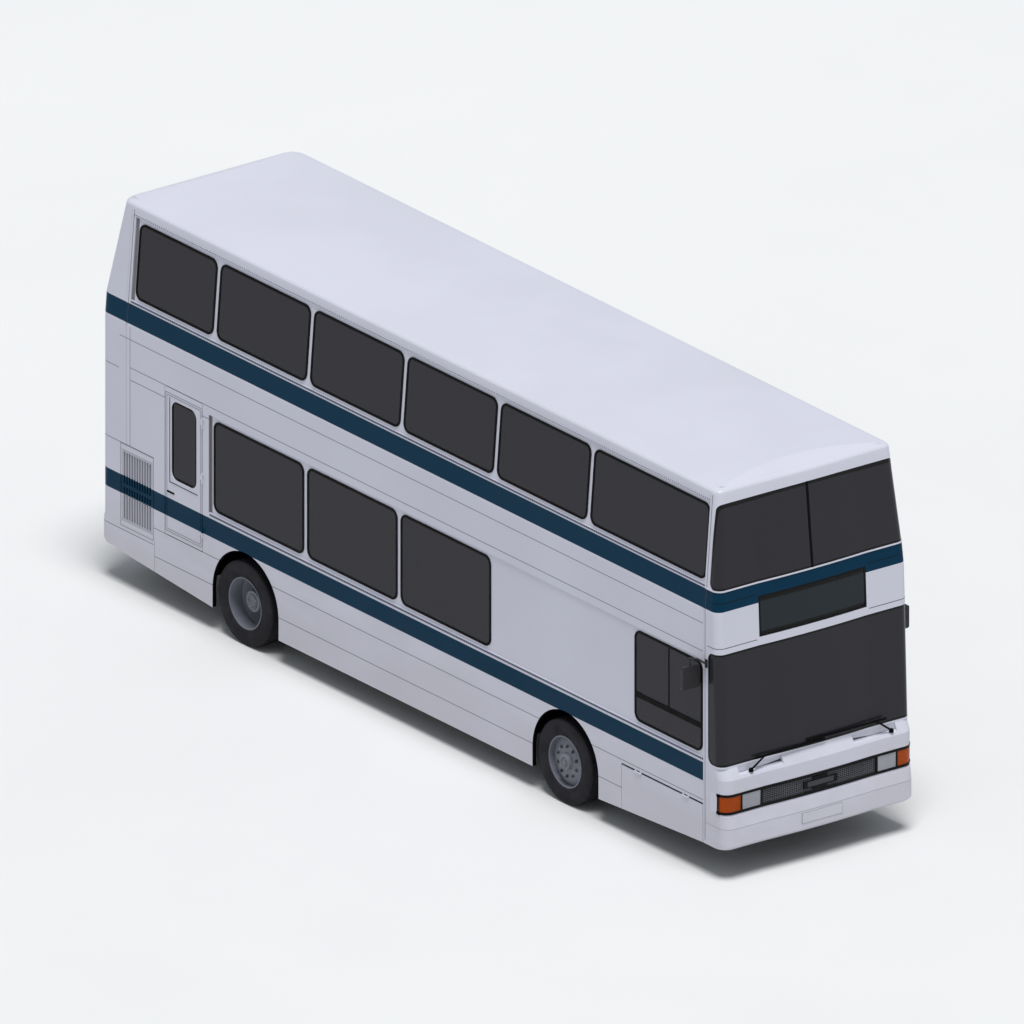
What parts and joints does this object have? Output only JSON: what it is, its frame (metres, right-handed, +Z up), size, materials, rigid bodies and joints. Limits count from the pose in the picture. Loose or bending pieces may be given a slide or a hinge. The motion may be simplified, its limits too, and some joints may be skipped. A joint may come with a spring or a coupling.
{
  "type": "double decker bus",
  "caption": "Full-size double-decker service bus, right-hand drive, white with two blue bands, dark windows, glider entrance doors and a rear engine.",
  "frame": {"origin": "on the ground below the middle of the length and width", "axes": "+X forwards, +Y to the nearside (left of travel), +Z up"},
  "size_m": [10.9398, 2.97, 4.39],
  "materials": {
    "body_white": "gloss",
    "black_trim": "satin",
    "steel": "satin",
    "cast_black": "matte",
    "rubber_black": "matte",
    "tyre_black": "matte",
    "wheel_grey": "satin",
    "window": "smooth",
    "lamp_clear": "smooth",
    "lamp_orange": "smooth",
    "lamp_red": "smooth",
    "floor_grey": "matte",
    "interior_grey": "satin",
    "seat_cloth": "woven",
    "rail_yellow": "gloss"
  },
  "bodies": {
    "body_shell": {"chassis_rails": "cast_black", "cross_members": "cast_black", "outriggers": "cast_black", "air_springs": "rubber_black", "front_axle_beam": "cast_black", "rear_axle": "cast_black", "engine_block": "steel", "fuel_tank": "steel", "lower_floor": "floor_grey", "entrance_steps": "floor_grey", "entrance_frame": "body_white", "upper_floor": "floor_grey", "offside_lower_side": "body_white", "nearside_lower_side": "body_white", "nearside_upper_side": "body_white", "offside_upper_side": "body_white", "roof": "body_white", "front_panel": "body_white", "front_surround": "body_white", "front_glass": "window", "destination_box": "black_trim", "front_grille": "black_trim", "headlamps": "lamp_clear", "indicators": "lamp_orange", "front_bumper": "body_white", "rear_bumper": "body_white", "rear_lower_panel": "body_white", "rear_upper_panel": "body_white", "window_glass": "window", "side_louvre": "body_white", "mirrors": "black_trim", "wipers": "black_trim", "rear_lamps": "lamp_red", "lower_seats": "seat_cloth", "upper_seats": "seat_cloth", "staircase": "interior_grey", "cab_fittings": "black_trim", "handrails": "rail_yellow", "wheel_housings": "floor_grey"},
    "knuckle_n": {"knuckle_nearside": "cast_black"},
    "knuckle_o": {"knuckle_offside": "cast_black"},
    "track_rod_body": {"track_rod": "steel"},
    "front_wheel_n": {"front_tyre_nearside": "tyre_black", "front_rim_nearside": "wheel_grey"},
    "front_wheel_o": {"front_tyre_offside": "tyre_black", "front_rim_offside": "wheel_grey"},
    "rear_wheel_n": {"rear_tyres_nearside": "tyre_black", "rear_rims_nearside": "wheel_grey"},
    "rear_wheel_o": {"rear_tyres_offside": "tyre_black", "rear_rims_offside": "wheel_grey"},
    "exit_door": {"emergency_door": "body_white", "emergency_door_glass": "window"},
    "engine_door": {"engine_cover": "body_white"},
    "locker_door": {"locker_flap": "body_white"},
    "post_front": {"door_post_front": "steel"},
    "post_rear": {"door_post_rear": "steel"},
    "leaf_front": {"door_leaf_front": "black_trim", "door_glass_front": "window"},
    "leaf_rear": {"door_leaf_rear": "black_trim", "door_glass_rear": "window"}
  },
  "joints": [
    {"name": "steer_nearside", "type": "hinge", "parent": "body_shell", "child": "knuckle_n", "pos_m": [2.61, 0.96, 0.468], "axis": [0, 0, 1], "range_deg": [-36, 36]},
    {"name": "steer_offside", "type": "hinge", "parent": "body_shell", "child": "knuckle_o", "pos_m": [2.61, -0.96, 0.468], "axis": [0, 0, 1], "range_deg": [-36, 36]},
    {"name": "track_rod_pivot", "type": "hinge", "parent": "knuckle_o", "child": "track_rod_body", "pos_m": [2.43, -0.96, 0.379], "axis": [0, 0, 1], "range_deg": [-36, 36]},
    {"name": "spin_front_nearside", "type": "hinge", "parent": "knuckle_n", "child": "front_wheel_n", "pos_m": [2.61, 1.1075, 0.468], "axis": [0, 1, 0], "continuous": true},
    {"name": "spin_front_offside", "type": "hinge", "parent": "knuckle_o", "child": "front_wheel_o", "pos_m": [2.61, -1.1075, 0.468], "axis": [0, 1, 0], "continuous": true},
    {"name": "spin_rear_nearside", "type": "hinge", "parent": "body_shell", "child": "rear_wheel_n", "pos_m": [-2.958, 0.9575, 0.468], "axis": [0, 1, 0], "continuous": true},
    {"name": "spin_rear_offside", "type": "hinge", "parent": "body_shell", "child": "rear_wheel_o", "pos_m": [-2.958, -0.9575, 0.468], "axis": [0, 1, 0], "continuous": true},
    {"name": "emergency_door_hinge", "type": "hinge", "parent": "body_shell", "child": "exit_door", "pos_m": [-3.6545, -1.259, 1.67], "axis": [0, 0, 1], "range_deg": [0, 95]},
    {"name": "engine_cover_hinge", "type": "hinge", "parent": "body_shell", "child": "engine_door", "pos_m": [-5.459, 0, 1.6235], "axis": [0, 1, 0], "range_deg": [0, 75]},
    {"name": "locker_flap_hinge", "type": "hinge", "parent": "body_shell", "child": "locker_door", "pos_m": [4.345, -1.259, 0.7825], "axis": [-1, 0, 0], "range_deg": [0, 100]},
    {"name": "front_post_turn", "type": "hinge", "parent": "body_shell", "child": "post_front", "pos_m": [4.898, 1.22, 1.4], "axis": [0, 0, 1], "range_deg": [0, 85]},
    {"name": "front_leaf_turn", "type": "hinge", "parent": "post_front", "child": "leaf_front", "pos_m": [4.57075, 1.22, 1.4], "axis": [0, 0, 1], "range_deg": [-170, 0]},
    {"name": "rear_post_turn", "type": "hinge", "parent": "body_shell", "child": "post_rear", "pos_m": [3.582, 1.22, 1.4], "axis": [0, 0, 1], "range_deg": [-85, 0]},
    {"name": "rear_leaf_turn", "type": "hinge", "parent": "post_rear", "child": "leaf_rear", "pos_m": [3.90925, 1.22, 1.4], "axis": [0, 0, 1], "range_deg": [0, 170]}
  ],
  "couplings": [
    {"joint": "steer_offside", "follows": "steer_nearside", "ratio": 1},
    {"joint": "track_rod_pivot", "follows": "steer_nearside", "ratio": -1},
    {"joint": "front_leaf_turn", "follows": "front_post_turn", "ratio": -2},
    {"joint": "rear_post_turn", "follows": "front_post_turn", "ratio": -1},
    {"joint": "rear_leaf_turn", "follows": "front_post_turn", "ratio": 2}
  ]
}
